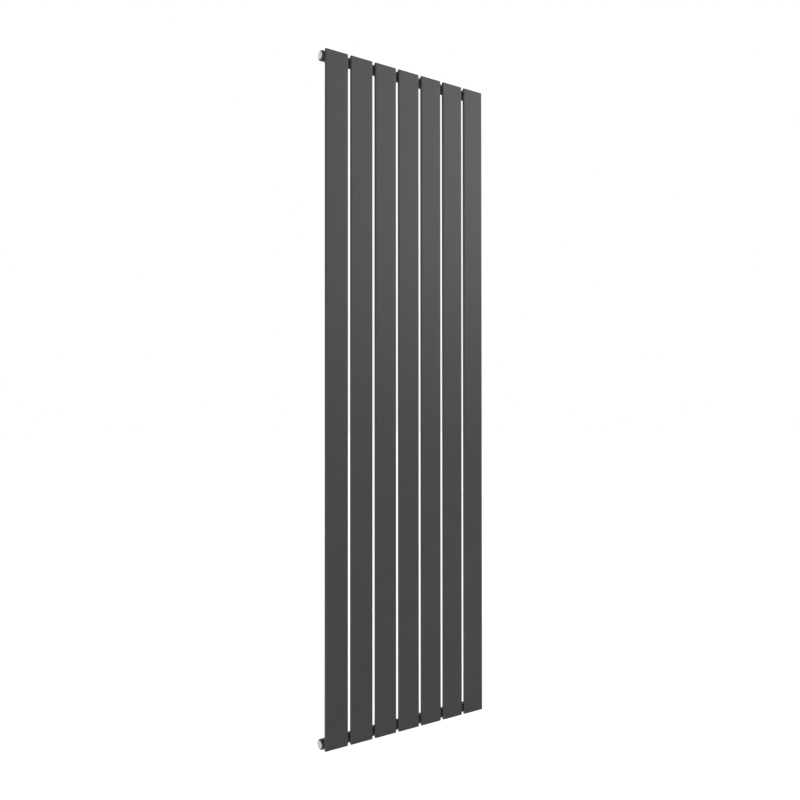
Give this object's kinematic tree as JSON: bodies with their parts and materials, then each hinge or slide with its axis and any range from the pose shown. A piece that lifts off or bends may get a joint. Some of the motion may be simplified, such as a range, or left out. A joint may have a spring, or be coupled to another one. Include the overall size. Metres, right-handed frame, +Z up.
{
  "type": "vertical flat tube radiator",
  "caption": "Tall wall-hung radiator of flat vertical tubes on two round headers, with threaded end ports, covered vent and blanking plugs, and lift-off wall brackets.",
  "frame": {"origin": "centre of the four wall screw holes, on the wall plane", "axes": "+Z up, +Y into the wall, -Y towards the room, +X to the right as seen from the room"},
  "size_m": [0.5465, 0.062, 1.8],
  "materials": {
    "tube_paint": "satin anthracite powder coat",
    "header_paint": "satin anthracite powder coat",
    "bracket_paint": "satin anthracite powder coat",
    "liner_plastic": "matt moulded nylon",
    "plug_metal": "nickel plated",
    "bleed_brass": "machined",
    "seal_rubber": "black rubber",
    "cover_chrome": "satin chrome"
  },
  "bodies": {
    "brackets": {"wall_bracket_1": "bracket_paint", "wall_bracket_2": "bracket_paint", "wall_bracket_3": "bracket_paint", "wall_bracket_4": "bracket_paint", "slot_liners": "liner_plastic"},
    "radiator": {"flat_tube_1": "tube_paint", "flat_tube_2": "tube_paint", "flat_tube_3": "tube_paint", "flat_tube_4": "tube_paint", "flat_tube_5": "tube_paint", "flat_tube_6": "tube_paint", "flat_tube_7": "tube_paint", "tube_top_end_1": "tube_paint", "tube_top_end_2": "tube_paint", "tube_top_end_3": "tube_paint", "tube_top_end_4": "tube_paint", "tube_top_end_5": "tube_paint", "tube_top_end_6": "tube_paint", "tube_top_end_7": "tube_paint", "tube_bottom_end_1": "tube_paint", "tube_bottom_end_2": "tube_paint", "tube_bottom_end_3": "tube_paint", "tube_bottom_end_4": "tube_paint", "tube_bottom_end_5": "tube_paint", "tube_bottom_end_6": "tube_paint", "tube_bottom_end_7": "tube_paint", "top_collar_1": "header_paint", "top_collar_2": "header_paint", "top_collar_3": "header_paint", "top_collar_4": "header_paint", "top_collar_5": "header_paint", "top_collar_6": "header_paint", "top_collar_7": "header_paint", "bottom_collar_1": "header_paint", "bottom_collar_2": "header_paint", "bottom_collar_3": "header_paint", "bottom_collar_4": "header_paint", "bottom_collar_5": "header_paint", "bottom_collar_6": "header_paint", "bottom_collar_7": "header_paint", "top_header": "header_paint", "bottom_header": "header_paint", "boss_top_left": "header_paint", "boss_top_right": "header_paint", "boss_bottom_left": "header_paint", "boss_bottom_right": "header_paint", "vent_plug": "plug_metal", "vent_plug_seal": "seal_rubber", "blanking_plug": "plug_metal", "blanking_plug_seal": "seal_rubber", "hanging_stud_1": "header_paint", "hanging_stud_2": "header_paint", "hanging_stud_3": "header_paint", "hanging_stud_4": "header_paint"},
    "vent_cover": {"vent_cover": "cover_chrome"},
    "blanking_cover": {"blanking_cover": "cover_chrome"},
    "bleed_seal": {"bleed_screw_seal": "seal_rubber"},
    "bleed_screw": {"bleed_screw": "bleed_brass"}
  },
  "joints": [
    {"name": "lift_off", "type": "slide", "parent": "brackets", "child": "radiator", "axis": [0, 0, 1], "range_m": [0, 0.02]},
    {"name": "vent_cover_pull", "type": "slide", "parent": "radiator", "child": "vent_cover", "axis": [-1, 0, 0], "range_m": [0, 0.012]},
    {"name": "blanking_cover_pull", "type": "slide", "parent": "radiator", "child": "blanking_cover", "axis": [-1, 0, 0], "range_m": [0, 0.012]},
    {"name": "bleed_travel", "type": "slide", "parent": "radiator", "child": "bleed_seal", "axis": [-1, 0, 0], "range_m": [0, 0.001]},
    {"name": "bleed_turn", "type": "hinge", "parent": "bleed_seal", "child": "bleed_screw", "pos_m": [-0.2721, -0.04115, 0.88655], "axis": [-1, 0, 0], "range_deg": [0, 360]}
  ],
  "couplings": [
    {"joint": "bleed_turn", "follows": "bleed_travel", "rad_per_m": 6283.2}
  ]
}
